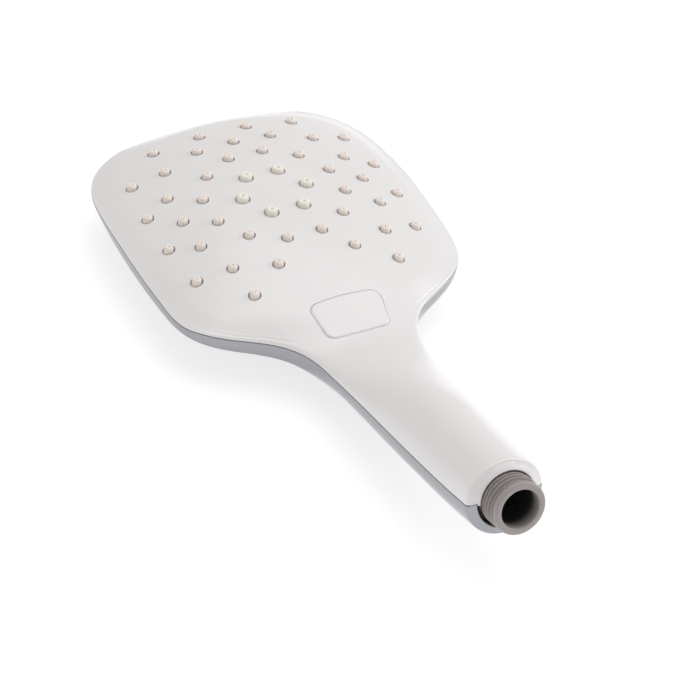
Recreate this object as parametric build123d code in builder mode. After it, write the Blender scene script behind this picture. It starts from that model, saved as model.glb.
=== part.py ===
"""Handheld shower head: wide square spray plate, push button at the neck, G1/2 hose connector."""

from build123d import *
import os
from math import cos, radians, sin, sqrt

os.makedirs("parts", exist_ok=True)

# ---------------------------------------------------------------- driving dimensions, mm
# The origin is the middle of the connector's end face. +Y runs up the handle to the top of the
# head, +X is sideways and +Z is the way the water leaves the middle of the spray face.
face_y = 203.3  # middle of the spray face, from the connector's end
face_z = -2.2
hose_tilt = 14.84  # the handle curves up to the hose, and the button slopes by as much

wall = 2.4  # shell thickness
face_along = 274.0  # the spray face is domed: its radii along and across the head
face_across = 167.0
back_along = 672.0  # the back is a shallower dish, deepest at back_y
back_across = 300.0
back_y = -30.0
back_z = -27.0
# The rim rolls over to the face and to the back: heights, and how far the outline has drawn in.
head_roll = [(-28.0, 10.0), (-23.5, 4.5), (-20.0, 1.6), (-17.0, 0.3), (-14.5, 0.0), (-11.5, 0.6), (-7.5, 3.2)]
head_roll += [(-2.0, 9.0), (2.0, 14.0)]

# Half of the head's outline, from the top middle to the neck, seen from the front.
head_top = (0, 67.2)
head_right = [
    (20, 66.5), (40, 63.5), (52, 58.2), (59.5, 49), (63.4, 36), (65.4, 5),
    (64.4, -25), (62, -45), (57, -57), (47, -65), (38, -72), (30, -80),
]

# Handle sections: place along Y, half width, and the heights of the seam, top and bottom.
handle_sections = [
    (-35.0, 22.0, -14.5, -8.0, -22.0),
    (-55.0, 24.0, -15.0, -9.5, -31.0),
    (-72.0, 25.0, -15.6, -11.8, -36.5),
    (-86.0, 23.6, -15.7, -11.4, -36.5),
    (-100.0, 20.6, -15.1, -9.2, -34.0),
    (-115.0, 18.3, -14.0, -4.2, -31.4),
    (-135.0, 17.3, -11.6, 2.6, -28.4),
    (-160.0, 16.4, -7.4, 8.1, -24.3),
    (-180.0, 16.1, -2.9, 10.8, -19.4),
    (-193.5, 15.7, 0.4, 13.4, -15.2),
    (-203.0, 15.3, 2.6, 15.2, -12.2),
]
head_seam = -14.5
section_steps = 20

# Spray nozzles, in a square-ish field that widens from a hexagon of jets.
jet_ring = 14.2
inner_ring = 29.3
top_nozzle = (0, 40.2)
right_nozzles = [
    (16.7, 39.8), (33.6, 33.6), (39.8, 16.7), (40.2, 0), (39.8, -16.7), (33.6, -33.6), (16.7, -39.8),
    (10.7, 50.9), (31.6, 50.3), (48.2, 33.4), (50.9, 10.7), (50.9, -10.7), (48.3, -32.2), (31.5, -49.8),
]
spray_base = 2.1
spray_tip = 1.6
spray_height = 1.9
spray_bore = 0.5
jet_base = 2.6
jet_tip = 2.1
jet_height = 2.1
jet_bore = 0.9
nozzle_gap = 0.3

# Water chamber behind the face.
mat_top = 2.5  # depths below the face
mat_bottom = 4.0
nozzle_root = 0.7  # how far the nozzles reach into the mat
jet_disc = 19.0
chamber_inset = 9.0
chamber_end = -56.0
chamber_wall = 2.0
chamber_inside_mat = 0.4
floor_top = -14.6
floor_bottom = -16.4
jet_wall_inner = 19.6
jet_wall_outer = 22.4
boss_places = [(15.5, 15.5), (-15.5, 15.5), (15.5, -15.5), (-15.5, -15.5),
               (43.5, 43.5), (-43.5, 43.5), (43.5, -43.5), (-43.5, -43.5)]
boss_drop = [4.6, 2.6]  # length of the inner four bosses below the face's wall, then of the outer four
boss_radius = 3.0
screw_radius = 1.25
screw_tip = 0.9  # below the face's wall
screw_head = 2.4
screw_head_height = 1.2
screw_socket_depth = 0.8
outer_port = (-6.2, -34.0)
jet_port = (6.2, -8.0)
port_radius = 4.0
duct_half = 12.8
duct_top = -17.25
duct_bottom = -21.8
duct_end = 4.0
channel_floor = -20.5
channel_width = 9.8
channel_middle = 6.2
clearance = 0.1  # between pieces that are assembled without pressing
seat_gap = 0.05  # under seals and springs that only just touch
through = 60.0  # longer than any cut has to be

# Button and valve, in depths t along the button's own axis.
button_y = -71.6
button_z = -9.4
button_proud = 0.45
button_gap = 0.35
button_flange_top = 3.7
button_flange_bottom = 4.8
button_flange = 1.3  # its width round the button
button_rim = 1.8  # wall of the button's hollow
button_hollow = 3.0
button_boss = 4.5
stem_radius = 3.05
valve_cap_top = 7.5
valve_top = 8.1
valve_floor = 18.6
valve_bottom = 20.1
valve_outer = 11.0
valve_bore = 9.2
plunger_end = 13.4
collar_bottom = 11.4
collar_height = 0.8
collar_radius = 6.5
groove_bottom = 12.9
groove_height = 1.1
groove_depth = 0.65
rotor_top = 14.0
rotor_bottom = 17.8
rotor_outer = 9.0
rotor_inner = 4.2
rotor_ports = 6.6  # radius of the circle of its ports
spring_radius = 2.5
nose_back = -64.0  # the valve's nose carries water on to the duct

# Connector, in depths h from its end face. The thread is G1/2.
thread_radius = 20.955 / 2
thread_core = 18.631 / 2
thread_pitch = 1.814
first_crest = 1.9
crest_count = 5
hose_bore = 7.53
hose_bore_depth = 13.0
cartridge_bore = 7.2
cartridge_radius = 7.1
shell_end = 10.2
opening_radius = 12.0
cartridge_end = 30.0
socket_depth = 33.0
connector_length = 42.0
collar_start = 16.0
collar_end = 19.0
shank_radius = 10.2
flange_radius = 11.8
neck_radius = 9.8
clip_groove = 20.0
clip_groove_width = 1.7
clip_inner = 8.9
clip_outer = 11.6
screen_height = 0.8
regulator_start = 14.2
regulator_height = 3.8
valve_start = 18.3
valve_length = 11.4
valve_seat = 1.5  # thickness of the seat that the poppet closes
valve_chamber_radius = 5.7
poppet_radius = 4.7
poppet_height = 1.3
poppet_stem = 1.05
tube_radius = 5.0
tube_bore = 3.8
tube_height = -26.6
tube_bend = 80.0
socket_radius = 5.1
inlet_y = -79.5

# ---------------------------------------------------------------- reference planes
face = Plane(origin=(0, face_y, face_z))
side = Plane(origin=(0, face_y, face_z), x_dir=(0, 1, 0), z_dir=(1, 0, 0))
tilt_sin = sin(radians(hose_tilt))
tilt_cos = cos(radians(hose_tilt))
hose = Plane(origin=(0, 0, 0), x_dir=(1, 0, 0), z_dir=(0, tilt_cos, -tilt_sin))
button_face = Plane(
    origin=(0, face_y + button_y, face_z + button_z), x_dir=(1, 0, 0), z_dir=(0, -tilt_sin, tilt_cos)
)


def below(t):
    """Plane at depth t under the button, facing out of the face."""
    return button_face.offset(-t)


def face_drop(x, y):
    """Height of the domed face over its middle, at a place on it."""
    return sqrt(face_across**2 - x**2) - face_across + sqrt(face_along**2 - y**2) - face_along


# ---------------------------------------------------------------- shared solids
def barrel(y, z, along, across, up):
    """Barrel-shaped ring whose crown touches height z at y, on its upper or its lower side."""
    turn = 1 if up else -1
    half = 80.0
    thickness = 60.0
    sag = across - sqrt(across**2 - half**2)
    with BuildPart() as ring:
        crown = Plane(origin=(0, face_y + y, face_z + z), x_dir=(1, 0, 0), z_dir=(0, -1, 0))
        with BuildSketch(crown):
            with BuildLine():
                ThreePointArc((-half, -turn * sag), (0, 0), (half, -turn * sag))
                Polyline(
                    (half, -turn * sag), (half, -turn * thickness),
                    (-half, -turn * thickness), (-half, -turn * sag),
                )
            make_face()
        revolve(axis=Axis((0, face_y + y, face_z + z - turn * along), (1, 0, 0)), revolution_arc=360)
    return ring.part


def under_face(depth):
    """Everything deeper than a given depth under the domed face."""
    return barrel(0, -depth, face_along - depth, face_across - depth, up=True)


def over_back(depth):
    """Everything nearer the face than a given depth inside the dished back."""
    return barrel(back_y, back_z + depth, back_along - depth, back_across - depth, up=False)


def inset_points(points, inset):
    """The outline's points moved inwards, square to the line through their neighbours."""
    moved = []
    for before, point, after in zip(points[:-2], points[1:-1], points[2:]):
        along = (Vector(*after) - Vector(*before)).normalized()
        moved.append((point[0] + inset * along.Y, point[1] - inset * along.X))
    return moved


def head_outline(inset):
    """The head's outline, drawn a distance inside its edge, in the face's own plane."""
    left_of_top = (-head_right[0][0], head_right[0][1])
    past_end = (head_right[-1][0] - 9, head_right[-1][1] - 9)
    points = inset_points([left_of_top, head_top, *head_right, past_end], inset)
    with BuildSketch() as outline:
        with BuildLine():
            Spline(*points, tangents=[(1, 0), (-1, -1)])
            Polyline(points[-1], (0, points[-1][1]), points[0])
        make_face()
        mirror(about=Plane.YZ)
    return outline.sketch


def head_block(inset):
    """The head between its domed face and dished back, drawn a distance inside the real surface."""
    with BuildPart() as block:
        for level, roll in head_roll:
            with BuildSketch(face.offset(level)):
                add(head_outline(inset + roll))
        loft()
        add(under_face(inset), mode=Mode.INTERSECT)
        add(over_back(inset), mode=Mode.INTERSECT)
    return block.part


def handle_section(half_width, rise, fall):
    """Points round a section whose upper and lower halves are half ellipses of their own height."""
    points = []
    for step in range(section_steps):
        angle = radians(90 + 360 * step / section_steps)
        height = rise if sin(angle) > 0 else fall
        points.append((half_width * cos(angle), height * sin(angle)))
    return points


def handle_block(inset):
    """The handle as a loft of its sections, drawn a distance inside the real surface."""
    with BuildPart() as grip:
        for y, half_width, seam, top, bottom in handle_sections:
            station = Plane(origin=(0, face_y + y, face_z + seam), x_dir=(1, 0, 0), z_dir=(0, -1, 0))
            with BuildSketch(station):
                with BuildLine():
                    rise = top - seam - inset
                    fall = seam - bottom - inset
                    Spline(*handle_section(half_width - inset, rise, fall), periodic=True)
                make_face()
        loft()
    return grip.part


def seam_side(above):
    """Everything on one side of the seam between the two shells."""
    far = 60.0 if above else -80.0
    with BuildPart() as region:
        with BuildSketch(side):
            with BuildLine():
                points = [(120, head_seam), (40, head_seam), (-35, head_seam)]
                points += [(y, seam) for y, _, seam, _, _ in handle_sections[1:]]
                points += [(-230, 9.0)]
                seam_line = Spline(*points)
                Polyline(seam_line @ 1, (-230, far), (120, far), seam_line @ 0)
            make_face()
        extrude(amount=90, both=True)
    return region.part


def chamber_outline(inset):
    """Outline of the water chamber: the head's outline, cut off short of the neck."""
    with BuildSketch() as outline:
        add(head_outline(chamber_inset + inset))
        with Locations((0, chamber_end + inset + 100)):
            Rectangle(200, 200, mode=Mode.INTERSECT)
    return outline.sketch


def coil_spring(seat, radius, wire, length, turns):
    """Round-wire compression spring standing on a plane."""
    with BuildPart() as coil:
        with BuildLine(Plane.XY.offset(wire)) as path:
            Helix(pitch=(length - 2 * wire) / turns, height=length - 2 * wire, radius=radius)
        with BuildSketch(Plane(origin=path.line @ 0, z_dir=path.line % 0)):
            Circle(wire)
        sweep()
    return seat.location * coil.part


def o_ring(plane, centre_radius, cord):
    """Rubber ring lying in a plane."""
    with BuildPart() as ring:
        with Locations(plane):
            Torus(centre_radius, cord)
    return ring.part


def ring_nozzles(count, radius, start):
    """Places spaced evenly on a circle."""
    angles = [radians(start + 360 / count * i) for i in range(count)]
    return [(radius * cos(angle), radius * sin(angle)) for angle in angles]


jet_nozzles = ring_nozzles(6, jet_ring, 0)
spray_nozzles = ring_nozzles(12, inner_ring, 15) + [top_nozzle]
spray_nozzles += right_nozzles + [(-x, y) for x, y in right_nozzles]


def nozzle_points(places, depth):
    """The places as points at a depth under the face, measured straight down."""
    return [(x, face_y + y, face_z + face_drop(x, y) - depth) for x, y in places]


def button_outline(grow):
    """Rounded trapezoid, wider towards the head, grown all round."""
    with BuildSketch() as outline:
        with BuildLine():
            ThreePointArc((-14.9, 8.3), (0, 9.5), (14.9, 8.3))
            Line((14.9, 8.3), (13.1, -8.8))
            ThreePointArc((13.1, -8.8), (0, -9.5), (-13.1, -8.8))
            Line((-13.1, -8.8), (-14.9, 8.3))
        make_face()
        fillet(outline.vertices(), radius=3.6)
        if grow:
            offset(amount=grow)
    return outline.sketch


# ---------------------------------------------------------------- shells
outer_head = head_block(0)
inner_head = head_block(wall)
outer_handle = handle_block(0)
inner_handle = handle_block(wall)


def shell(above):
    """One half of the hollow casing."""
    with BuildPart() as half:
        add(outer_head)
        add(outer_handle)
        add(inner_head, mode=Mode.SUBTRACT)
        add(inner_handle, mode=Mode.SUBTRACT)
        add(seam_side(above), mode=Mode.INTERSECT)
        with BuildSketch(hose.offset(shell_end)):
            Rectangle(90, 90)
        extrude(amount=-60, mode=Mode.SUBTRACT)
        with BuildSketch(hose.offset(shell_end)):
            Circle(opening_radius)
        extrude(amount=22, mode=Mode.SUBTRACT)
    return half.part


with BuildPart() as front_shell:
    add(shell(above=True))
    with Locations(*nozzle_points(spray_nozzles, 5)):
        Cylinder(spray_base + nozzle_gap, 20, mode=Mode.SUBTRACT)
    with Locations(*nozzle_points(jet_nozzles, 5)):
        Cylinder(jet_base + nozzle_gap, 20, mode=Mode.SUBTRACT)
    with BuildSketch(below(valve_cap_top)):
        add(button_outline(button_gap))
    extrude(amount=through, mode=Mode.SUBTRACT)
    # Screw bosses hang from the face, a little into its wall so that they are one with it.
    for index, (x, y) in enumerate(boss_places):
        boss_length = wall + boss_drop[index // 4]
        with BuildSketch(face.offset(face_drop(x, y) - boss_length)):
            with Locations((x, y)):
                Circle(boss_radius)
                Circle(screw_radius + 0.05, mode=Mode.SUBTRACT)
        extrude(amount=boss_length - wall / 2)

with BuildPart() as back_shell:
    add(shell(above=False))

# ---------------------------------------------------------------- nozzles
with BuildPart() as nozzle_mat:
    with BuildSketch(face.offset(-through)):
        add(chamber_outline(0))
    extrude(amount=through)
    add(under_face(mat_top), mode=Mode.INTERSECT)
    add(under_face(mat_bottom), mode=Mode.SUBTRACT)
    add(over_back(wall + clearance), mode=Mode.INTERSECT)
    with Locations((0, face_y, face_z)):
        Cylinder(jet_disc + nozzle_gap, through, mode=Mode.SUBTRACT)
    with Locations(*[(x, face_y + y, face_z) for x, y in boss_places]):
        Cylinder(boss_radius + nozzle_gap, through, mode=Mode.SUBTRACT)
    with Locations(*nozzle_points(spray_nozzles, mat_top + nozzle_root)):
        Cone(
            spray_base, spray_tip, mat_top + nozzle_root + spray_height,
            align=(Align.CENTER, Align.CENTER, Align.MIN),
        )
    with Locations(*nozzle_points(spray_nozzles, mat_bottom)):
        Cylinder(spray_bore, through, mode=Mode.SUBTRACT)

with BuildPart() as jet_nozzles_ring:
    with BuildSketch(face.offset(-through)):
        Circle(jet_disc)
    extrude(amount=through)
    add(under_face(mat_top), mode=Mode.INTERSECT)
    add(under_face(mat_bottom), mode=Mode.SUBTRACT)
    with Locations(*[(x, face_y + y, face_z) for x, y in boss_places[:4]]):
        Cylinder(boss_radius + nozzle_gap, through, mode=Mode.SUBTRACT)
    with Locations(*nozzle_points(jet_nozzles, mat_top + nozzle_root)):
        Cone(
            jet_base, jet_tip, mat_top + nozzle_root + jet_height,
            align=(Align.CENTER, Align.CENTER, Align.MIN),
        )
    with Locations(*nozzle_points(jet_nozzles, mat_bottom)):
        Cylinder(jet_bore, through, mode=Mode.SUBTRACT)

# ---------------------------------------------------------------- water chamber
with BuildPart() as spray_chamber:
    with BuildSketch(face.offset(floor_bottom)):
        add(chamber_outline(chamber_inside_mat))
    extrude(amount=through)
    add(under_face(mat_bottom + clearance), mode=Mode.INTERSECT)
    add(over_back(wall + 2 * clearance), mode=Mode.INTERSECT)
    with BuildSketch(face.offset(floor_top)):
        add(chamber_outline(chamber_inside_mat + chamber_wall))
        Circle(jet_wall_outer, mode=Mode.SUBTRACT)
        with Locations(*boss_places):
            Circle(boss_radius, mode=Mode.SUBTRACT)
    extrude(amount=20, mode=Mode.SUBTRACT)
    with BuildSketch(face.offset(floor_top)):
        Circle(jet_wall_inner)
        with Locations(*boss_places):
            Circle(boss_radius, mode=Mode.SUBTRACT)
    extrude(amount=20, mode=Mode.SUBTRACT)
    for index, (x, y) in enumerate(boss_places):
        with BuildSketch(face.offset(face_drop(x, y) - wall - boss_drop[index // 4] - clearance)):
            with Locations((x, y)):
                Circle(boss_radius + nozzle_gap)
        extrude(amount=20, mode=Mode.SUBTRACT)
    with BuildSketch(face.offset(floor_bottom)):
        with Locations(outer_port, jet_port):
            Circle(port_radius)
        with Locations(*boss_places):
            Circle(screw_radius + clearance)
    extrude(amount=20, mode=Mode.SUBTRACT)
    with BuildSketch(face.offset(floor_bottom)):
        with Locations(*boss_places):
            Circle(screw_head + clearance)
    extrude(amount=screw_head_height, mode=Mode.SUBTRACT)

with BuildPart() as chamber_screws:
    for index, (x, y) in enumerate(boss_places):
        tip = face_drop(x, y) - wall - screw_tip
        with BuildSketch(face.offset(floor_bottom)):
            with Locations((x, y)):
                Circle(screw_head)
                RegularPolygon(0.9, 6, mode=Mode.SUBTRACT)
        extrude(amount=screw_socket_depth)
        with BuildSketch(face.offset(floor_bottom + screw_socket_depth)):
            with Locations((x, y)):
                Circle(screw_head)
        extrude(amount=screw_head_height - screw_socket_depth)
        with BuildSketch(face.offset(floor_bottom + screw_head_height)):
            with Locations((x, y)):
                Circle(screw_radius)
        extrude(amount=tip - floor_bottom - screw_head_height)

duct_length = duct_end - chamber_end
duct_middle = (duct_end + chamber_end) / 2
with BuildPart() as duct_gasket:
    with BuildSketch(face.offset(duct_top + seat_gap)):
        with Locations((0, duct_middle)):
            RectangleRounded(2 * duct_half, duct_length, 3)
        with Locations(outer_port, jet_port):
            Circle(port_radius, mode=Mode.SUBTRACT)
    extrude(amount=floor_bottom - duct_top - 2 * seat_gap)

with BuildPart() as water_duct:
    with BuildSketch(face.offset(duct_bottom)):
        with Locations((0, duct_middle)):
            RectangleRounded(2 * duct_half, duct_length, 3)
    extrude(amount=duct_top - duct_bottom)
    for middle, (port_x, port_y) in ((-channel_middle, outer_port), (channel_middle, jet_port)):
        channel_top = port_y + port_radius
        channel_start = chamber_end - 1
        with BuildSketch(face.offset(channel_floor)):
            with Locations((middle, (channel_top + channel_start) / 2)):
                Rectangle(channel_width, channel_top - channel_start)
        extrude(amount=through, mode=Mode.SUBTRACT)

# ---------------------------------------------------------------- selector valve
nose_front = chamber_end - clearance
inlet_length = 16.0
inlet_wall = 1.6
inlet_socket = 8.5
with BuildPart() as valve_body:
    with BuildSketch(below(valve_bottom)):
        Circle(valve_outer)
    extrude(amount=valve_bottom - valve_top)
    with BuildSketch(face.offset(duct_bottom)):
        with Locations((0, (nose_front + nose_back) / 2)):
            Rectangle(2 * duct_half, nose_front - nose_back)
    extrude(amount=duct_top - duct_bottom)
    inlet = Plane(
        origin=(0, face_y + inlet_y - inlet_socket, face_z + tube_height), x_dir=(1, 0, 0), z_dir=(0, 1, 0)
    )
    with BuildSketch(inlet):
        Circle(socket_radius + inlet_wall)
    extrude(amount=inlet_length)
    with BuildSketch(below(valve_top)):
        Circle(valve_outer + 1)
    extrude(amount=10, mode=Mode.SUBTRACT)
    with BuildSketch(below(valve_floor)):
        Circle(valve_bore)
    extrude(amount=valve_floor, mode=Mode.SUBTRACT)
    with BuildSketch(inlet):
        Circle(socket_radius)
    extrude(amount=inlet_socket, mode=Mode.SUBTRACT)
    with BuildSketch(inlet):
        Circle(tube_bore)
    extrude(amount=20, mode=Mode.SUBTRACT)
    nose_middle = (nose_front + nose_back) / 2
    with BuildSketch(face.offset(channel_floor)):
        with Locations((-channel_middle, nose_middle - 0.5), (channel_middle, nose_middle - 0.5)):
            Rectangle(channel_width, nose_front - nose_back + 1)
    extrude(amount=2.0, mode=Mode.SUBTRACT)

spigot_depth = 1.9
seal_room = 1.7
seal_cord = 0.8
with BuildPart() as valve_cap:
    with BuildSketch(below(valve_top - seat_gap)):
        Circle(valve_outer)
    extrude(amount=valve_top - seat_gap - valve_cap_top)
    with BuildSketch(below(valve_top + spigot_depth)):
        Circle(valve_bore - clearance)
    extrude(amount=spigot_depth + clearance)
    with BuildSketch(below(valve_top + spigot_depth)):
        Circle(stem_radius + seat_gap)
    extrude(amount=through, mode=Mode.SUBTRACT)
    with BuildSketch(below(valve_top + spigot_depth)):
        Circle(stem_radius + 2 * seal_cord + 3 * seat_gap)
    extrude(amount=seal_room, mode=Mode.SUBTRACT)

stem_seal_depth = valve_top + spigot_depth - seal_room / 2
stem_seal = o_ring(below(stem_seal_depth), stem_radius + seal_cord + clearance, seal_cord)

with BuildPart() as selector_plunger:
    with BuildSketch(below(plunger_end)):
        Circle(stem_radius)
    extrude(amount=plunger_end - button_flange_bottom)
    with BuildSketch(below(collar_bottom)):
        Circle(collar_radius)
    extrude(amount=collar_height)
    with BuildSketch(below(groove_bottom)):
        Circle(stem_radius)
        Circle(stem_radius - groove_depth, mode=Mode.SUBTRACT)
    extrude(amount=groove_height, mode=Mode.SUBTRACT)

plunger_seal = o_ring(below(groove_bottom - groove_height / 2), stem_radius - 0.1, 0.53)
spring_room = valve_floor - plunger_end - 2 * seat_gap
plunger_spring = coil_spring(below(valve_floor - seat_gap), spring_radius, 0.3, spring_room, 4)

with BuildPart() as selector_rotor:
    with BuildSketch(below(rotor_bottom)):
        Circle(rotor_outer)
        Circle(rotor_inner, mode=Mode.SUBTRACT)
        with PolarLocations(rotor_ports, 4):
            Circle(1.5, mode=Mode.SUBTRACT)
    extrude(amount=rotor_bottom - rotor_top)
    with BuildSketch(below(rotor_top)):
        with PolarLocations(rotor_ports, 8, start_angle=22.5):
            Rectangle(6, 0.9)
    extrude(amount=-0.8, mode=Mode.SUBTRACT)

with BuildPart() as rotor_seal:
    with BuildSketch(below(valve_floor - seat_gap)):
        Circle(rotor_outer - clearance)
        Circle(rotor_inner + 0.4, mode=Mode.SUBTRACT)
    extrude(amount=0.6)

with BuildPart() as selector_button:
    with BuildSketch(below(button_flange_bottom)):
        add(button_outline(0))
    extrude(amount=2 * button_flange_bottom)
    add(under_face(-button_proud), mode=Mode.INTERSECT)
    with BuildSketch(below(button_flange_bottom)):
        add(button_outline(button_flange))
    extrude(amount=button_flange_bottom - button_flange_top)
    with BuildSketch(below(button_flange_bottom)):
        add(button_outline(-button_rim))
        Circle(button_boss, mode=Mode.SUBTRACT)
    extrude(amount=button_hollow, mode=Mode.SUBTRACT)

# ---------------------------------------------------------------- hose connector and water tube
with BuildPart() as hose_connector:
    with BuildSketch(hose):
        Circle(thread_core)
    extrude(amount=shell_end)
    chamfer(hose_connector.faces().sort_by(Axis(hose.origin, hose.z_dir))[0].edges(), length=0.5)
    for index in range(crest_count):
        crest = first_crest + thread_pitch * index
        with BuildSketch(Plane(origin=(0, 0, 0), x_dir=(0, tilt_cos, -tilt_sin), z_dir=(1, 0, 0))):
            with BuildLine():
                Polyline(
                    (crest - 0.75, thread_core - 0.3), (crest - 0.22, thread_radius),
                    (crest + 0.22, thread_radius), (crest + 0.75, thread_core - 0.3), close=True,
                )
            make_face()
        revolve(axis=Axis((0, 0, 0), (0, tilt_cos, -tilt_sin)), revolution_arc=360)
    for start, end, radius in (
        (shell_end, collar_start, shank_radius),
        (collar_start, collar_end, flange_radius),
        (collar_end, connector_length, neck_radius),
    ):
        with BuildSketch(hose.offset(start)):
            Circle(radius)
        extrude(amount=end - start)
    with BuildSketch(hose.offset(clip_groove)):
        Circle(flange_radius)
        Circle(clip_inner, mode=Mode.SUBTRACT)
    extrude(amount=clip_groove_width, mode=Mode.SUBTRACT)
    for start, end, radius in (
        (0, hose_bore_depth, hose_bore),
        (hose_bore_depth, cartridge_end, cartridge_bore),
        (cartridge_end, socket_depth, tube_bore),
        (socket_depth, connector_length, socket_radius),
    ):
        with BuildSketch(hose.offset(start)):
            Circle(radius)
        extrude(amount=end - start, mode=Mode.SUBTRACT)

with BuildPart() as connector_clip:
    with BuildSketch(hose.offset(clip_groove + clearance)):
        Circle(clip_outer)
        Circle(clip_inner + clearance, mode=Mode.SUBTRACT)
        with Locations((0, clip_outer)):
            Rectangle(clip_outer, 1.5 * clip_outer, mode=Mode.SUBTRACT)
    extrude(amount=clip_groove_width - 2 * clearance)

with BuildPart() as filter_screen:
    with BuildSketch(hose.offset(hose_bore_depth + clearance)):
        Circle(cartridge_radius)
        with GridLocations(1.7, 1.7, 7, 7):
            RectangleRounded(1.2, 1.2, 0.2, mode=Mode.SUBTRACT)
    extrude(amount=screen_height)

with BuildPart() as flow_regulator:
    with BuildSketch(hose.offset(regulator_start)):
        Circle(cartridge_radius)
        with PolarLocations(4.4, 6):
            Circle(1.2, mode=Mode.SUBTRACT)
    extrude(amount=regulator_height)
    with BuildSketch(hose.offset(regulator_start)):
        Circle(6.2)
        Circle(2.2, mode=Mode.SUBTRACT)
    extrude(amount=1.4, mode=Mode.SUBTRACT)

with BuildPart() as check_valve_body:
    with BuildSketch(hose.offset(valve_start)):
        Circle(cartridge_radius)
    extrude(amount=valve_length)
    with BuildSketch(hose.offset(valve_start + valve_seat)):
        Circle(valve_chamber_radius)
    extrude(amount=7.9, mode=Mode.SUBTRACT)
    with BuildSketch(hose.offset(valve_start)):
        Circle(3.6)
    extrude(amount=2, mode=Mode.SUBTRACT)
    with BuildSketch(hose.offset(27)):
        Circle(poppet_stem + clearance)
        with PolarLocations(3.6, 3):
            Circle(1.4)
    extrude(amount=4, mode=Mode.SUBTRACT)

with BuildPart() as check_valve_poppet:
    poppet_face = valve_start + valve_seat + clearance
    with BuildSketch(hose.offset(poppet_face)):
        Circle(poppet_radius)
    extrude(amount=poppet_height)
    with BuildSketch(hose.offset(poppet_face + poppet_height)):
        Circle(poppet_stem)
    extrude(amount=7.6)

check_spring_seat = hose.offset(poppet_face + poppet_height + seat_gap)
check_valve_spring = coil_spring(check_spring_seat, spring_radius, 0.28, 6.4, 5)

tube_end_gap = 0.5
tube_ring_depth = 4.5
tube_seal_cord = 0.43
tube_start = hose.offset(socket_depth + tube_end_gap)
bend_angle = radians(hose_tilt)
end_y = inlet_y - tube_end_gap
end_z = tube_height
bend_z = end_z + tube_bend * (1 - cos(bend_angle))
start_y = tube_start.origin.Y - face_y
start_z = tube_start.origin.Z - face_z
bend_start_y = start_y + (start_z - bend_z) / tilt_sin * tilt_cos
bend_end_y = bend_start_y + tube_bend * sin(bend_angle)
with BuildPart() as water_tube:
    with BuildLine(side) as tube_path:
        Line((start_y, start_z), (bend_start_y, bend_z))
        bend_middle = (
            bend_end_y - tube_bend * sin(bend_angle / 2), end_z + tube_bend * (1 - cos(bend_angle / 2))
        )
        ThreePointArc((bend_start_y, bend_z), bend_middle, (bend_end_y, end_z))
        Line((bend_end_y, end_z), (end_y, end_z))
    with BuildSketch(tube_start):
        Circle(tube_radius)
        Circle(tube_bore, mode=Mode.SUBTRACT)
    sweep()
    ring_groove = 1.4
    valve_end = Plane(
        origin=(0, face_y + end_y - tube_ring_depth, face_z + end_z), x_dir=(1, 0, 0), z_dir=(0, 1, 0)
    )
    connector_end = hose.offset(socket_depth + tube_ring_depth)
    for groove in (valve_end, connector_end):
        with BuildSketch(groove.offset(-ring_groove / 2)):
            Circle(tube_radius + 1)
            Circle(tube_radius - 0.8, mode=Mode.SUBTRACT)
        extrude(amount=ring_groove, mode=Mode.SUBTRACT)

tube_seal_front = o_ring(valve_end, tube_radius - 0.36, tube_seal_cord)
tube_seal_rear = o_ring(connector_end, tube_radius - 0.36, tube_seal_cord)

# ---------------------------------------------------------------- write each piece
pieces = {
    "front_shell": front_shell.part,
    "back_shell": back_shell.part,
    "nozzle_mat": nozzle_mat.part,
    "jet_nozzles": jet_nozzles_ring.part,
    "spray_chamber": spray_chamber.part,
    "chamber_screws": chamber_screws.part,
    "duct_gasket": duct_gasket.part,
    "water_duct": water_duct.part,
    "valve_body": valve_body.part,
    "valve_cap": valve_cap.part,
    "stem_seal": stem_seal,
    "selector_plunger": selector_plunger.part,
    "plunger_seal": plunger_seal,
    "plunger_spring": plunger_spring,
    "selector_rotor": selector_rotor.part,
    "rotor_seal": rotor_seal.part,
    "selector_button": selector_button.part,
    "hose_connector": hose_connector.part,
    "connector_clip": connector_clip.part,
    "filter_screen": filter_screen.part,
    "flow_regulator": flow_regulator.part,
    "check_valve_body": check_valve_body.part,
    "check_valve_poppet": check_valve_poppet.part,
    "check_valve_spring": check_valve_spring,
    "water_tube": water_tube.part,
    "tube_seal_front": tube_seal_front,
    "tube_seal_rear": tube_seal_rear,
}
for node, piece in pieces.items():
    piece.label = node
    export_step(piece, f"parts/{node}.step")
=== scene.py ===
from math import cos, pi, radians, sin, tan

import bmesh
import bpy
import numpy as np
from mathutils import Matrix, Vector


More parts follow.
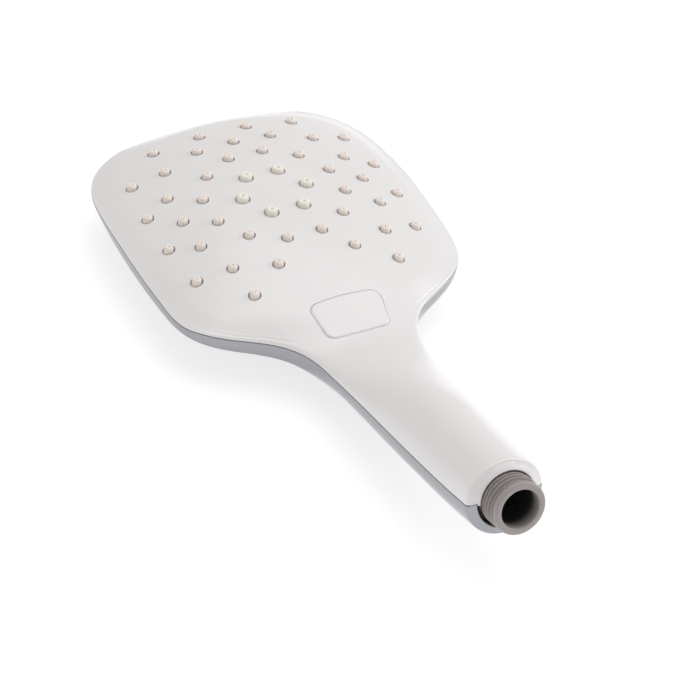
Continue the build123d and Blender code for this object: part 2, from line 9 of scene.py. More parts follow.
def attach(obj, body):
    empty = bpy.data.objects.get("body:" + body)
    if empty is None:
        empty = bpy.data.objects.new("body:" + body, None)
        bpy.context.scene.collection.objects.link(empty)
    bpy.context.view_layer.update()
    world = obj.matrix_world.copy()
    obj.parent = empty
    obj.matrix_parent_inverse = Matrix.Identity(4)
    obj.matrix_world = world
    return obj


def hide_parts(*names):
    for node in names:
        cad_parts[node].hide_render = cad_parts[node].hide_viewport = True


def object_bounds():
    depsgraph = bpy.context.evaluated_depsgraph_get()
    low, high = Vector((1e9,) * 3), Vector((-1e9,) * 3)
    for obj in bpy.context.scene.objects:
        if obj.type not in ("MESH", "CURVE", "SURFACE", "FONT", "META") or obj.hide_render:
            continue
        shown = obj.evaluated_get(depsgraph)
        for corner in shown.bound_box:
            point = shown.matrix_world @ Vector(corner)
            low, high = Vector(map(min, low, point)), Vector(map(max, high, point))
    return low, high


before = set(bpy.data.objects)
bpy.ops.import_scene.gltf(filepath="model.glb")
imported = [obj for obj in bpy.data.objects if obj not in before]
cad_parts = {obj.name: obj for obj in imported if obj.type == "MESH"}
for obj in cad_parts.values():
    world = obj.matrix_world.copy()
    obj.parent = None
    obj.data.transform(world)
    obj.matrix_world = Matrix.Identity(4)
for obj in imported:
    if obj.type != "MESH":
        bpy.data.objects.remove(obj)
cad_low, cad_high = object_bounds()

# ---------------------------------------------------------------- front shell
# White ABS moulding in one piece with the top of the handle. It meets the chromed back at a seam all
# round, and the nozzle holes and the button's opening go right through it. Sizes are in millimetres
# from the middle of the spray face, which is placed from the end of the hose connector.
FACE = np.array([0.0, 203.3, -2.2])
HOSE_TILT = radians(14.84)
OUTLINE_RIGHT = [
    (22, 66), (42, 63.5), (54, 57), (61, 46), (64, 30), (65, 0), (63.5, -33), (60, -49), (52.5, -58),
    (42, -65), (30.5, -73), (23.5, -83), (20.5, -96), (18.5, -115), (17, -145), (16, -175), (15.5, -191),
]
HEAD_TOP = 67.2
DOME_ACROSS = 167.0  # radii of the domed spray face
DOME_ALONG = 274.0
SPINE_BEND = -40.0  # where the columns start to lean towards the middle of the head
SPINE_TOP = 38.0
ROWS, COLUMNS = 56, 321  # of a shell's grid: outline to middle line, and along the outline
FRONT_ROLL = 9.0  # width of the head's rolled edge
SHELL_WALL = 2.2
SEAM_LIP = 0.3
SEAM_GROOVE = 0.2
THIN_EDGE = 0.7  # the least height of the white edge, where the dome comes down to the seam
END_MIDDLE = np.array([0, -193.44, -0.41])  # middle of the hose end
END_BACK = 2.4  # its rolled rim starts this far behind
END_RIM = 0.9
END_RIM_RISE = 1.3
END_PROUD = 3.3  # and the lip of its opening stands this far in front of the rim's start
FRONT_OPENING = (10.7, 0.0)  # radius of the opening round the connector, and how far it is dropped


def through(knots, values, at):
    """Natural cubic: straight lines between the knots, plus the cubic term that keeps bending smooth."""
    x, y = np.asarray(knots, float), np.asarray(values, float)
    if x[0] > x[-1]:
        x, y = x[::-1], y[::-1]
    step = np.diff(x)
    system = np.eye(len(x))
    load = np.zeros_like(y)
    inner = np.arange(1, len(x) - 1)
    system[inner, inner - 1] = step[:-1]
    system[inner, inner] = 2 * (step[:-1] + step[1:])
    system[inner, inner + 1] = step[1:]
    slope = (np.diff(y, axis=0).T / step).T
    load[1:-1] = 6 * np.diff(slope, axis=0)
    bend = np.linalg.solve(system, load)
    k = np.clip(np.searchsorted(x, at) - 1, 0, len(x) - 2)
    far = (np.asarray(at) - x[k]) / step[k]
    near = 1 - far
    width = step[k] ** 2 / 6
    if y.ndim > 1:
        far, near, width = far[..., None], near[..., None], width[..., None]
    curve = (near**3 - near) * bend[k] + (far**3 - far) * bend[k + 1]
    return near * y[k] + far * y[k + 1] + curve * width


def ease(x):
    """S-curve from 0 to 1: three squares less two cubes."""
    x = np.clip(x, 0, 1)
    return x * x * (3 - 2 * x)


def climb(y, start, length, power):
    """Nothing as far as the start, then the share of the length that is covered, to a power."""
    return np.clip((start - y) / length, 0, None) ** power


def seam_height(y):
    """Height of the seam: an S-curve down the head to the neck, then a rise along the handle."""
    return -13.4 - 2.8 * ease((35 - y) / 115) + 16.2 * climb(y, -84, 110, 1.6)


def dome(x, y):
    """The spray face: one circle's arc across it, carried along another from top to neck."""
    across = np.sqrt(DOME_ACROSS**2 - x**2) - DOME_ACROSS
    return across + np.sqrt(DOME_ALONG**2 - y**2) - DOME_ALONG


def crest(y):
    """Height of the handle's top line: level at the neck, then an S-curve on a steady rise."""
    return -11.6 + 10.3 * ease((-88 - y) / 62) + 14.7 * climb(y, -88, 106, 1.2)


def front_surface(x, y):
    """Full height of the front: the dome on the head, easing into the handle's top line."""
    onto_handle = ease((-68 - y) / 28)
    return dome(x, y) * (1 - onto_handle) + crest(y) * onto_handle


def outline_points(count):
    """Points evenly spaced on the outline, from the left of the hose end round to the right."""
    right = np.array([(0, HEAD_TOP)] + OUTLINE_RIGHT, float)
    knots = np.concatenate([right[:0:-1] * (-1, 1), right])
    run = np.concatenate([[0], np.cumsum(np.hypot(*np.diff(knots, axis=0).T))])
    return through(run, knots, np.linspace(0, run[-1], count))


def outward(points):
    """Unit vectors square to the outline, away from its inside."""
    along = np.gradient(points, axis=0)
    normal = np.stack([-along[:, 1], along[:, 0]], axis=1)
    return normal / np.linalg.norm(normal, axis=1)[:, None]


def half_casing(side, surface, edge_roll, squareness, inset):
    """Grid from the outline in to the middle line. Height over the seam is the full height times
    the height of a rounded square's arc: 1 where the rolled edge ends and 0 at the outline. The
    seam droops wherever the dome would come down below it."""
    edge = outline_points(COLUMNS)
    edge = edge - inset * outward(edge)
    up_head = np.clip((edge[:, 1] - SPINE_BEND) / (HEAD_TOP - SPINE_BEND), 0, 1)
    stretch = (HEAD_TOP - SPINE_BEND) / (SPINE_TOP - SPINE_BEND) - 1
    spine_y = SPINE_BEND + (SPINE_TOP - SPINE_BEND) * (up_head + stretch * up_head * (1 - up_head))
    spine_y = np.where(edge[:, 1] < SPINE_BEND, edge[:, 1], spine_y)
    inward = 1 - np.cos(np.linspace(0, pi / 2, ROWS))[:, None]
    x = edge[:, 0] * (1 - inward)
    y = edge[:, 1] * (1 - inward) + spine_y * inward
    gap = np.full(x.shape, 1e9)
    for start in range(0, COLUMNS, 8):
        reach = edge[start:start + 8]
        apart = np.hypot(x[..., None] - reach[:, 0], y[..., None] - reach[:, 1])
        gap = np.minimum(gap, apart.min(axis=-1))
    gap = np.minimum(gap, inward * np.hypot(edge[:, 0], edge[:, 1] - spine_y))
    half_width = np.interp(-y, -edge[COLUMNS // 2:, 1], edge[COLUMNS // 2:, 0])
    onto_handle = ease((-52 - y) / 50)
    roll = edge_roll + (half_width - edge_roll) * onto_handle
    power = 2 + (squareness - 2) * (1 - onto_handle)
    arc = (1 - (1 - np.clip(gap / roll, 0, 1)) ** power) ** (1 / power)
    below_face = dome(edge[:, 0], edge[:, 1]) - THIN_EDGE
    on_head = edge[:, 1] > -65
    droop = np.clip(seam_height(edge[:, 1]) - below_face, 0, None) * on_head
    seam = seam_height(edge[:, 1]) - droop
    full = np.maximum(side * (surface(x, y) - seam) - inset, SEAM_LIP)
    z = seam + side * (SEAM_LIP + (full - SEAM_LIP) * arc)
    lean = ease((-150 - y) / 41) * tan(HOSE_TILT)
    y = y + lean * (z + 0.4)
    return np.stack([x, y, z], axis=-1)


def end_cap(ring, radius, drop):
    """Columns that carry the half ring at the hose end round a rolled rim, over a shallow cone and
    into the round opening: each is the ring drawn towards the opening and moved along the axis."""
    out = np.array([0, -cos(HOSE_TILT), sin(HOSE_TILT)])
    level = np.array([0, sin(HOSE_TILT), cos(HOSE_TILT)])
    middle = END_MIDDLE - END_BACK * out
    across = ring - middle
    across = across - (across @ out)[:, None] * out
    size = np.linalg.norm(across, axis=1)[:, None]
    unit = across / size
    hole = middle + level * drop + unit * radius
    columns = []
    for angle in np.linspace(0, pi / 2, 7)[1:]:
        rim = middle + unit * (size - END_RIM * (1 - cos(angle)))
        columns.append(rim + out * END_RIM_RISE * sin(angle))
    lip = hole + unit * 0.5 + out * END_PROUD
    columns.append((columns[-1] + lip) / 2 + out * 0.25)
    columns += [lip, hole + unit * 0.15 + out * (END_PROUD - 0.15), hole + out * (END_PROUD - 0.5)]
    columns.append(hole - out * 12)
    return columns


def shell_mesh(name, side, surface, edge_roll, squareness, opening):
    """Closed moulding: the outer grid, the inner grid a wall inside it, and strips round the seam."""
    outer = half_casing(side, surface, edge_roll, squareness, 0.0)
    inner = half_casing(side, surface, edge_roll, squareness, SHELL_WALL)
    lip = outer[:1].copy()
    lip[0, :, :2] -= SEAM_LIP * outward(outer[0, :, :2])
    lip[0, :, 2] -= side * SEAM_GROOVE
    outer = np.concatenate([lip, outer])
    inner = np.concatenate([inner[:1], inner])
    inner[0, :, 2] = lip[0, :, 2]
    ring = np.concatenate([outer[:, 0], outer[::-1, -1]])
    caps = end_cap(ring, *opening)
    tall = ROWS + 1
    left = np.stack([cap[:tall] for cap in caps[::-1]], axis=1)
    right = np.stack([cap[:tall - 1:-1] for cap in caps], axis=1)
    keep = 12  # the inner wall stops short of the hose end, where the opening's wall meets it
    inner[:, :keep] = inner[:, keep:keep + 1]
    inner[:, -keep:] = inner[:, -keep - 1:-keep]
    outer = np.concatenate([left, outer, right], axis=1)
    inner = np.concatenate([inner[:, :1]] * len(caps) + [inner] + [inner[:, -1:]] * len(caps), axis=1)
    count = outer.shape[1]
    points = np.concatenate([outer.reshape(-1, 3), inner.reshape(-1, 3)]) + FACE
    index = np.arange(tall * count).reshape(tall, count)
    under = index + tall * count
    grid = np.stack([index[:-1, :-1], index[:-1, 1:], index[1:, 1:], index[1:, :-1]], -1).reshape(-1, 4)
    strips = [grid, grid[:, ::-1] + tall * count]
    strips.append(np.stack([index[0, 1:], index[0, :-1], under[0, :-1], under[0, 1:]], -1))
    for c in (0, count - 1):
        strips.append(np.stack([index[:-1, c], index[1:, c], under[1:, c], under[:-1, c]], -1))
    return solid(name, points, np.concatenate(strips).tolist())


def solid(name, points, faces, smooth_angle=35):
    """Mesh from points in millimetres: doubles merged, normals turned outwards, sharp edges kept."""
    mesh = bpy.data.meshes.new(name)
    mesh.from_pydata(np.asarray(points) * 0.001, [], faces)
    build = bmesh.new()
    build.from_mesh(mesh)
    bmesh.ops.remove_doubles(build, verts=build.verts, dist=2e-6)
    bmesh.ops.dissolve_degenerate(build, edges=build.edges, dist=1e-6)
    bmesh.ops.recalc_face_normals(build, faces=build.faces)
    build.to_mesh(mesh)
    build.free()
    mesh.polygons.foreach_set("use_smooth", [True] * len(mesh.polygons))
    mesh.set_sharp_from_angle(angle=radians(smooth_angle))
    piece = bpy.data.objects.new(name, mesh)
    bpy.context.scene.collection.objects.link(piece)
    return piece


def circle_places(count, radius, first):
    """Places evenly spaced round a circle, from a first angle in degrees."""
    angle = np.radians(first + 360 / count * np.arange(count))
    return np.stack([radius * np.cos(angle), radius * np.sin(angle)], axis=1)


right_places = np.array([
    (16.7, 39.8), (33.6, 33.6), (39.8, 16.7), (40.2, 0), (39.8, -16.7), (33.6, -33.6), (16.7, -39.8),
    (10.7, 50.9), (31.6, 50.3), (48.2, 33.4), (50.9, 10.7), (50.9, -10.7), (48.3, -32.2), (31.5, -49.8),
])
jet_places = circle_places(6, 14.2, 0)
spray_places = np.concatenate(
    [circle_places(12, 29.3, 15), [(0, 40.2)], right_places, right_places * (-1, 1)]
)


def wrapped_faces(rows, steps):
    """Quads of a grid of points whose last row joins its first, and whose last column its first."""
    here = np.arange(rows * steps).reshape(rows, steps)
    up, on = np.roll(here, -1, axis=0), np.roll(here, -1, axis=1)
    return np.stack([here, on, np.roll(up, -1, axis=1), up], -1).reshape(-1, 4)


def turned(name, profile, places, steps):
    """Closed rings of a profile of radius and height, turned about Z, repeated at each place. The
    profile starts and ends at the same point, so the piece has a hole through it."""
    profile = np.asarray(profile, float)
    angle = np.arange(steps) * 2 * pi / steps
    ring = np.stack([
        profile[:, None, 0] * np.cos(angle), profile[:, None, 0] * np.sin(angle),
        np.repeat(profile[:, None, 1], steps, axis=1),
    ], axis=-1).reshape(-1, 3)
    faces = wrapped_faces(len(profile), steps)
    base = np.stack([places[:, 0], places[:, 1], dome(places[:, 0], places[:, 1])], axis=1)
    points = (base[:, None] + ring[None]).reshape(-1, 3) + FACE
    every = (faces[None] + (np.arange(len(places)) * len(ring))[:, None, None]).reshape(-1, 4)
    return solid(name, points, every.tolist(), smooth_angle=50)


SPRAY_HOLE = 2.62
JET_HOLE = 3.25
BUTTON_GAP = 0.07
BUTTON = np.array([0.0, -71.6, -9.4])  # the middle of the button, whose plane slopes with the hose
BUTTON_UP = np.array([0.0, cos(HOSE_TILT), sin(HOSE_TILT)])
BUTTON_OUT = np.array([0.0, -sin(HOSE_TILT), cos(HOSE_TILT)])


def button_outline(grow):
    """Corner arcs of 3.6 mm joined by straight sides, then bowed, then grown along its normals."""
    corner, arc = 3.6, np.radians(np.linspace(0, 90, 13))
    parts = []
    for turn, (x, y) in enumerate([(15.2, 8.4), (-15.2, 8.4), (-13.9, -8.7), (13.9, -8.7)]):
        centre = np.array([x - np.sign(x) * corner, y - np.sign(y) * corner])
        angle = arc + turn * pi / 2
        parts.append(centre + corner * np.stack([np.cos(angle), np.sin(angle)], axis=1))
    loop = np.concatenate(parts)
    closed = np.concatenate([loop, loop[:1]])
    run = np.concatenate([[0], np.cumsum(np.hypot(*np.diff(closed, axis=0).T))])
    even = np.linspace(0, run[-1], 193)[:-1]
    loop = np.stack([np.interp(even, run, closed[:, 0]), np.interp(even, run, closed[:, 1])], axis=1)
    bow = np.where(loop[:, 1] > 0, 1.0, -0.8) * (1 - (loop[:, 0] / 15) ** 2)
    loop[:, 1] += bow * np.abs(loop[:, 1]) / 8.5
    along = np.roll(loop, -1, axis=0) - np.roll(loop, 1, axis=0)
    normal = np.stack([along[:, 1], -along[:, 0]], axis=1)
    return loop + grow * normal / np.linalg.norm(normal, axis=1)[:, None]


def on_button(flat, height):
    """Points of the button's own plane and their height over it, placed on the head."""
    return BUTTON + np.concatenate([flat[:, :1], np.zeros((len(flat), 2))], axis=1) \
        + flat[:, 1:2] * BUTTON_UP + np.asarray(height).reshape(-1, 1) * BUTTON_OUT


def face_over_button(flat):
    """Height of the front over the button's own plane."""
    y = BUTTON[1] + flat[:, 1] * BUTTON_UP[1]
    plane = BUTTON[2] + flat[:, 1] * BUTTON_UP[2]
    return (front_surface(flat[:, 0], y) - plane) * BUTTON_OUT[2]


def stacked(name, rings):
    """Closed solid skinned over a stack of rings with as many points each, capped at both ends."""
    rows, steps = len(rings), len(rings[0])
    here = np.arange(rows * steps).reshape(rows, steps)
    on = np.roll(here, -1, axis=1)
    faces = np.stack([here[:-1], on[:-1], on[1:], here[1:]], -1).reshape(-1, 4).tolist()
    caps = [here[0].tolist()[::-1], here[-1].tolist()]
    return solid(name, np.concatenate(rings) + FACE, faces + caps)


def cutters():
    """Pins and a prism where the nozzles and the button come through the front."""
    column = [(0.0, -7), (1.0, -7), (1.0, 5), (0.0, 5)]
    made = []
    for places, radius in ((spray_places, SPRAY_HOLE), (jet_places, JET_HOLE)):
        profile = [(max(r * radius, 1e-4), z) for r, z in column]
        made.append(turned("nozzle_holes", profile, places, 40))
    hole = button_outline(BUTTON_GAP)
    ends = [on_button(hole, np.full(len(hole), height)) for height in (-9.0, 6.0)]
    made.append(stacked("button_opening", ends))
    return made


front = shell_mesh("front_shell_moulding", 1, front_surface, FRONT_ROLL, 2.0, FRONT_OPENING)
for cutter in cutters():
    cut = front.modifiers.new("cut", "BOOLEAN")
    cut.operation = "DIFFERENCE"
    cut.solver = "EXACT"
    cut.object = cutter
    graph = bpy.context.evaluated_depsgraph_get()
    carved = bpy.data.meshes.new_from_object(front.evaluated_get(graph))
    front.modifiers.clear()
    front.data = carved
    bpy.data.objects.remove(cutter)
front.data.set_sharp_from_angle(angle=radians(35))


def plastic(name, colour, roughness, grain, depth, coat=0.0):
    """Moulded plastic: a faint cloudiness in the colour, polish that varies, and fine surface grain."""
    material = bpy.data.materials.new(name)
    material.use_nodes = True
    nodes, links = material.node_tree.nodes, material.node_tree.links
    shader = nodes["Principled BSDF"]
    place = nodes.new("ShaderNodeTexCoord")
    cloud = nodes.new("ShaderNodeTexNoise")
    cloud.inputs["Scale"].default_value = 18
    cloud.inputs["Detail"].default_value = 3
    tint = nodes.new("ShaderNodeValToRGB")
    tint.color_ramp.elements[0].position = 0.3
    tint.color_ramp.elements[1].position = 0.7
    tint.color_ramp.elements[0].color = [c * 0.97 for c in colour] + [1]
    tint.color_ramp.elements[1].color = list(colour) + [1]
    polish = nodes.new("ShaderNodeMapRange")
    polish.inputs["To Min"].default_value = roughness * 0.88
    polish.inputs["To Max"].default_value = roughness * 1.12
    fine = nodes.new("ShaderNodeTexNoise")
    fine.inputs["Scale"].default_value = grain
    fine.inputs["Detail"].default_value = 4
    bump = nodes.new("ShaderNodeBump")
    bump.inputs["Strength"].default_value = depth
    bump.inputs["Distance"].default_value = 0.0001
    links.new(place.outputs["Object"], cloud.inputs["Vector"])
    links.new(place.outputs["Object"], fine.inputs["Vector"])
    links.new(cloud.outputs["Fac"], tint.inputs["Fac"])
    links.new(tint.outputs["Color"], shader.inputs["Base Color"])
    links.new(fine.outputs["Fac"], polish.inputs["Value"])
    links.new(polish.outputs["Result"], shader.inputs["Roughness"])
    links.new(fine.outputs["Fac"], bump.inputs["Height"])
    links.new(bump.outputs["Normal"], shader.inputs["Normal"])
    shader.inputs["Coat Weight"].default_value = coat
    shader.inputs["Coat Roughness"].default_value = 0.12
    return material


def dress(piece, material, body=None, stands_for=()):
    """Give a piece its material and its body, and hide the nodes it stands for."""
    piece.data.materials.clear()
    piece.data.materials.append(material)
    if body:
        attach(piece, body)
    if stands_for:
        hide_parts(*stands_for)
    return piece


white_plastic = plastic("white_abs", (0.86, 0.85, 0.855), 0.3, 900, 0.04, coat=0.25)
dress(front, white_plastic, "casing", ["front_shell"])

# ---------------------------------------------------------------- back shell
# ABS with bright chrome plate, clipped to the front all round. Its edge shows as a thin bright
# line round the head and widens along the handle.
BACK_ROLL = 2.4  # width of the head's rolled edge, below an upright band
BACK_SQUARENESS = 4.2  # 2 would be a quarter of an ellipse
BACK_OPENING = (12.0, 0.9)
DISH_DEPTH = 27.0  # at DISH_PLACE, the deepest of the head's shallow dish
DISH_PLACE = -30.0
KEEL_BULGE = 3.6  # how much deeper the keel is under the valve, at KEEL_PLACE
KEEL_PLACE = -79.0


def back_surface(x, y):
    """Full depth of the back: a shallow dish round a keel, which is deepest at the neck, under the
    valve, and rises from there by one power curve to the head's top and another to the hose."""
    middle = -DISH_DEPTH + (y - DISH_PLACE) ** 2 / 1344
    rise = x**2 / 600
    rising = 17.1 * climb(y, -84, 110, 2.1) + 11.6 * climb(-y, 84, 151, 1.35)
    bulge = KEEL_BULGE * np.exp(-((x / 13) ** 2) - ((y - KEEL_PLACE) / 17) ** 2)
    keel = -32 + rising - bulge
    onto_handle = ease((-70 - y) / 30)
    beside = np.exp(-((x / 27) ** 2)) * (1 - onto_handle) + onto_handle
    return middle + rise * (1 - onto_handle) + (keel - middle) * beside


back = shell_mesh("back_shell_moulding", -1, back_surface, BACK_ROLL, BACK_SQUARENESS, BACK_OPENING)


def chrome_plate(name, colour, roughness):
    """Plated metal: almost even, with faint waviness and slight differences of polish."""
    material = bpy.data.materials.new(name)
    material.use_nodes = True
    nodes, links = material.node_tree.nodes, material.node_tree.links
    shader = nodes["Principled BSDF"]
    shader.inputs["Metallic"].default_value = 1.0
    place = nodes.new("ShaderNodeTexCoord")
    wave = nodes.new("ShaderNodeTexNoise")
    wave.inputs["Scale"].default_value = 30
    tint = nodes.new("ShaderNodeValToRGB")
    tint.color_ramp.elements[0].color = [c * 0.94 for c in colour] + [1]
    tint.color_ramp.elements[1].color = list(colour) + [1]
    polish = nodes.new("ShaderNodeMapRange")
    polish.inputs["To Min"].default_value = roughness * 0.7
    polish.inputs["To Max"].default_value = roughness * 1.3
    bump = nodes.new("ShaderNodeBump")
    bump.inputs["Strength"].default_value = 0.05
    bump.inputs["Distance"].default_value = 0.0002
    links.new(place.outputs["Object"], wave.inputs["Vector"])
    links.new(wave.outputs["Fac"], tint.inputs["Fac"])
    links.new(tint.outputs["Color"], shader.inputs["Base Color"])
    links.new(wave.outputs["Fac"], polish.inputs["Value"])
    links.new(polish.outputs["Result"], shader.inputs["Roughness"])
    links.new(wave.outputs["Fac"], bump.inputs["Height"])
    links.new(bump.outputs["Normal"], shader.inputs["Normal"])
    return material


chrome = chrome_plate("chrome_plate", (0.35, 0.355, 0.38), 0.1)
dress(back, chrome, "casing", ["back_shell"])

# ---------------------------------------------------------------- fine spray nozzles
# One silicone mat behind the face, whose nipples come up through the holes. Each is a soft cone
# with a rounded tip and a fine bore, on a flange that seals against the back of the face.
SPRAY_PROFILE = [
    (0.28, -4.0), (3.6, -4.0), (3.6, -2.6), (2.45, -2.1), (2.14, -1.6), (2.02, -0.6), (1.96, 0.4),
    (1.9, 0.95), (1.8, 1.4), (1.58, 1.7), (1.25, 1.86), (0.9, 1.9), (0.6, 1.86), (0.36, 1.72), (0.28, 1.58),
]
spray = turned("spray_nozzles", SPRAY_PROFILE, spray_places, 36)
silicone = plastic("beige_silicone", (0.9, 0.83, 0.77), 0.5, 1400, 0.15)
silicone_shader = silicone.node_tree.nodes["Principled BSDF"]
silicone_shader.inputs["Subsurface Weight"].default_value = 0.15
silicone_shader.inputs["Subsurface Scale"].default_value = 0.001
dress(spray, silicone, "casing", ["nozzle_mat"])

# ---------------------------------------------------------------- jet nozzles
# Six larger nozzles on a disc of their own, in a creamier silicone, each with a dished mouth.
JET_PROFILE = [
    (0.4, -4.0), (4.2, -4.0), (4.2, -2.6), (3.05, -2.1), (2.7, -1.6), (2.55, -0.6), (2.46, 0.5),
    (2.4, 1.1), (2.28, 1.6), (2.02, 1.93), (1.65, 2.08), (1.25, 2.1), (0.85, 2.0), (0.55, 1.8), (0.4, 1.6),
]
jets = turned("jet_nozzles_soft", JET_PROFILE, jet_places, 40)
cream = plastic("cream_silicone", (0.94, 0.91, 0.82), 0.45, 1400, 0.15)
dress(jets, cream, "casing", ["jet_nozzles"])

# ---------------------------------------------------------------- selector button
# White cap that follows the face and stands a hair proud of it, with a soft edge. A flange below
# holds it in, and its underside is hollowed; the boss that pushes the plunger is not built.
def button_rings():
    """Rings from the hollow's roof, round the flange, up the side and over the crowned top."""
    rings = []
    for grow, depth in ((-1.8, -2.6), (-1.8, -4.8), (1.3, -4.8), (1.3, -3.7), (0.0, -3.7)):
        flat = button_outline(grow)
        rings.append(on_button(flat, np.full(len(flat), depth)))
    proud, edge = 0.42, 0.95  # how far the top stands over the face, and its edge's radius
    for angle in np.linspace(0, pi / 2, 7):
        flat = button_outline(-edge * (1 - cos(angle)))
        rings.append(on_button(flat, face_over_button(flat) + proud - edge * (1 - sin(angle))))
    rim = button_outline(-edge)
    for share in np.linspace(1, 0, 16)[1:-1]:
        rings.append(on_button(rim * share, face_over_button(rim * share) + proud))
    return rings


button = stacked("button_cap", button_rings())
dress(button, white_plastic, "button", ["selector_button"])

# ---------------------------------------------------------------- hose connector
# Grey moulded spigot with a G1/2 thread for the hose nut. Its plain collar leads the nut on, its
# end face takes the hose washer, and its bore holds the filter, regulator and check valve.
THREAD_RADIUS = 20.955 / 2
THREAD_DEPTH = 1.16
THREAD_PITCH = 1.814
THREAD_START = 3.0
THREAD_END = 10.4


def connector_mesh(name):
    """Turned profile whose threaded stretch swells by a ridge that climbs one pitch in a turn."""
    profile = [
        (7.2, 13.0), (7.53, 13.0), (7.53, 0.75), (7.6, 0.4), (7.85, 0.1), (8.2, 0.0), (9.3, 0.0),
        (9.8, 0.12), (10.15, 0.42), (10.3, 0.9), (10.3, 1.6), (10.15, 2.05), (9.75, 2.35), (9.32, 2.6),
    ]
    root = THREAD_RADIUS - THREAD_DEPTH
    profile += [(root, h) for h in np.linspace(2.7, THREAD_END + 0.3, 92)]
    profile += [
        (9.4, 10.9), (10.1, 11.2), (10.2, 11.6), (10.2, 16.0), (11.8, 16.0), (11.8, 19.0), (9.8, 19.0),
        (9.8, 20.0), (8.9, 20.0), (8.9, 21.7), (9.8, 21.7), (9.8, 42.0), (5.1, 42.0), (5.1, 33.0),
        (3.8, 33.0), (3.8, 30.0), (7.2, 30.0),
    ]
    profile = np.array(profile)
    steps = 144
    angle = np.arange(steps) * 2 * pi / steps
    radius = np.repeat(profile[:, :1], steps, axis=1)
    depth = np.repeat(profile[:, 1:], steps, axis=1)
    threaded = np.abs(radius - root) < 1e-6
    turn = (depth / THREAD_PITCH - angle / (2 * pi)) % 1
    ridge = np.clip(1.55 - np.abs(turn - 0.5) / 0.19, 0, 1)
    ridge = ridge * ridge * (3 - 2 * ridge)
    fade = ease((depth - THREAD_START) / 0.9) * ease((THREAD_END - depth) / 0.9)
    radius = radius + threaded * THREAD_DEPTH * ridge * fade
    along = np.array([0, cos(HOSE_TILT), -sin(HOSE_TILT)])
    level = np.array([0, sin(HOSE_TILT), cos(HOSE_TILT)])
    points = depth[..., None] * along + (radius * np.cos(angle))[..., None] * np.array([1, 0, 0]) \
        + (radius * np.sin(angle))[..., None] * level
    faces = wrapped_faces(len(profile), steps)
    return solid(name, points.reshape(-1, 3), faces.tolist(), smooth_angle=50)


connector = connector_mesh("threaded_connector")
grey_plastic = plastic("grey_filled_plastic", (0.355, 0.325, 0.318), 0.4, 1100, 0.2)


def paint_bore_shade(material):
    """Painted shade inside the bore: mix the colour towards near black by a share that is a smooth step
    of the depth from the mouth, and is nothing further than the bore's radius from the hose axis."""
    nodes, links = material.node_tree.nodes, material.node_tree.links
    shader = nodes["Principled BSDF"]
    base = shader.inputs["Base Color"].links[0].from_socket
    place = nodes.new("ShaderNodeTexCoord")
    turn = nodes.new("ShaderNodeMapping")
    turn.inputs["Rotation"].default_value = (HOSE_TILT, 0, 0)
    parts = nodes.new("ShaderNodeSeparateXYZ")
    across = nodes.new("ShaderNodeVectorMath")
    across.operation = "LENGTH"
    flat = nodes.new("ShaderNodeCombineXYZ")
    inner = nodes.new("ShaderNodeMapRange")
    inner.inputs["From Min"].default_value = 0.00762
    inner.inputs["From Max"].default_value = 0.00756
    depth = nodes.new("ShaderNodeMapRange")
    depth.interpolation_type = "SMOOTHSTEP"
    depth.inputs["From Min"].default_value = 0.0006
    depth.inputs["From Max"].default_value = 0.0065
    both = nodes.new("ShaderNodeMath")
    both.operation = "MULTIPLY"
    mix = nodes.new("ShaderNodeMix")
    mix.data_type = "RGBA"
    # near black painted shade deep in the bore
    mix.inputs["B"].default_value = (0.03, 0.027, 0.029, 1)
    links.new(place.outputs["Object"], turn.inputs["Vector"])
    links.new(turn.outputs["Vector"], parts.inputs["Vector"])
    links.new(parts.outputs["X"], flat.inputs["X"])
    links.new(parts.outputs["Z"], flat.inputs["Y"])
    links.new(flat.outputs["Vector"], across.inputs[0])
    links.new(across.outputs["Value"], inner.inputs["Value"])
    links.new(parts.outputs["Y"], depth.inputs["Value"])
    links.new(inner.outputs["Result"], both.inputs[0])
    links.new(depth.outputs["Result"], both.inputs[1])
    links.new(both.outputs["Value"], mix.inputs["Factor"])
    links.new(base, mix.inputs["A"])
    links.new(mix.outputs["Result"], shader.inputs["Base Color"])


# the bore's inside is darkened with depth from the mouth: painted shade
paint_bore_shade(grey_plastic)
dress(connector, grey_plastic, "casing", ["hose_connector"])

# ---------------------------------------------------------------- inside pieces
# The water chamber, valve, tube, seals, springs and screws keep their own shapes, each in the
# plastic, rubber or steel that it is made of.
inside = {
    "natural_plastic": (plastic("natural_plastic", (0.62, 0.63, 0.62), 0.4, 700, 0.2),
                        ["spray_chamber", "water_duct", "water_tube"]),
    "dark_acetal": (plastic("dark_acetal", (0.06, 0.065, 0.07), 0.4, 800, 0.15),
                    ["valve_body", "valve_cap", "flow_regulator"]),
    "white_acetal": (plastic("white_acetal", (0.78, 0.78, 0.74), 0.35, 800, 0.12),
                     ["selector_plunger", "selector_rotor", "check_valve_body", "check_valve_poppet"]),
    "black_rubber": (plastic("black_rubber", (0.015, 0.015, 0.016), 0.6, 1600, 0.35),
                     ["duct_gasket", "stem_seal", "plunger_seal", "rotor_seal", "tube_seal_front",
                      "tube_seal_rear"]),
    "stainless": (chrome_plate("stainless", (0.55, 0.54, 0.53), 0.28),
                  ["plunger_spring", "check_valve_spring", "chamber_screws", "connector_clip"]),
    "woven_mesh": (chrome_plate("woven_mesh", (0.05, 0.05, 0.052), 0.45), ["filter_screen"]),
}
for material, names in inside.values():
    for name in names:
        dress(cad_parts[name], material)

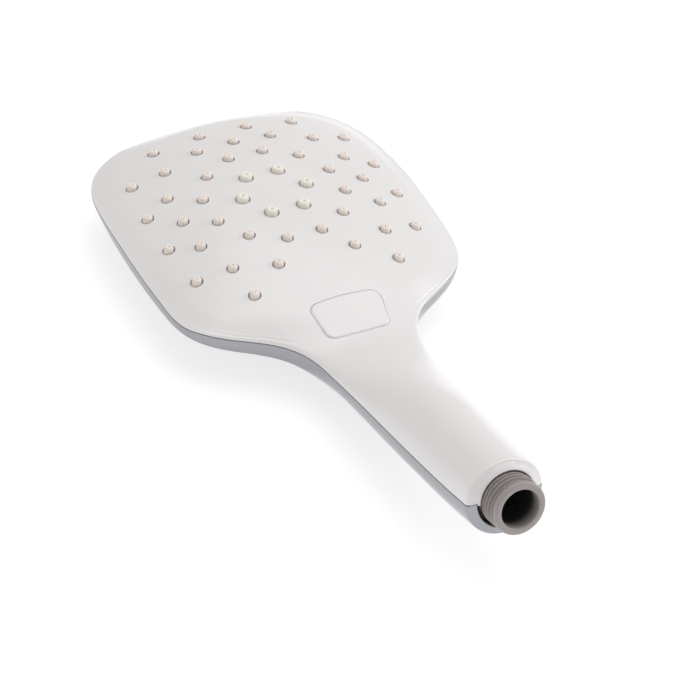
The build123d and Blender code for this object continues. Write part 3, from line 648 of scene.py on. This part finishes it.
# ---------------------------------------------------------------- floor, light and camera
# A plain white floor just under the object, even studio light from above, and a long lens.
floor_mesh = bpy.data.meshes.new("floor")
reach = 6.0
floor_z = cad_low[2] - 0.0005  # just clear of the lowest point
floor_mesh.from_pydata(
    [(-reach, -reach, floor_z), (reach, -reach, floor_z), (reach, reach, floor_z), (-reach, reach, floor_z)],
    [], [(0, 1, 2, 3)],
)
floor = bpy.data.objects.new("floor", floor_mesh)
bpy.context.scene.collection.objects.link(floor)
pale = plastic("pale_floor", (0.55, 0.55, 0.55), 0.9, 200, 0.02)
pale_shader = pale.node_tree.nodes["Principled BSDF"]
pale_shader.inputs["Emission Color"].default_value = (1, 1, 1, 1)
pale_shader.inputs["Emission Strength"].default_value = 0.66
floor.data.materials.append(pale)

world = bpy.data.worlds.new("studio")
bpy.context.scene.world = world
world.use_nodes = True
world.node_tree.nodes["Background"].inputs["Color"].default_value = (1, 0.968, 0.96, 1)
world.node_tree.nodes["Background"].inputs["Strength"].default_value = 0.56


def soft_light(name, place, aim, size, power):
    """Square area light aimed at a point."""
    lamp = bpy.data.lights.new(name, "AREA")
    lamp.size = size
    lamp.energy = power
    light = bpy.data.objects.new(name, lamp)
    bpy.context.scene.collection.objects.link(light)
    light.location = place
    light.rotation_euler = (Vector(aim) - Vector(place)).to_track_quat("-Z", "Y").to_euler()


middle = (0, 0.16, 0)
soft_light("overhead", (0.3, 0.5, 1.6), middle, 1.4, 8.6)
soft_light("right_side", (1.5, -0.2, 0.8), middle, 0.9, 8.0)

camera_data = bpy.data.cameras.new("camera")
camera_data.lens = 130.46
camera_data.sensor_width = 36
camera = bpy.data.objects.new("camera", camera_data)
bpy.context.scene.collection.objects.link(camera)
PAN, TILT, ROLL = radians(29.55), radians(40.16), radians(4.88)
camera.matrix_world = (
    Matrix.Translation((-0.3749, -0.5306, 0.6118)) @ Matrix.Rotation(-PAN, 4, "Z")
    @ Matrix.Rotation(pi / 2 - TILT, 4, "X") @ Matrix.Rotation(ROLL, 4, "Z")
)
bpy.context.scene.camera = camera
bpy.context.scene.view_settings.view_transform = "Standard"
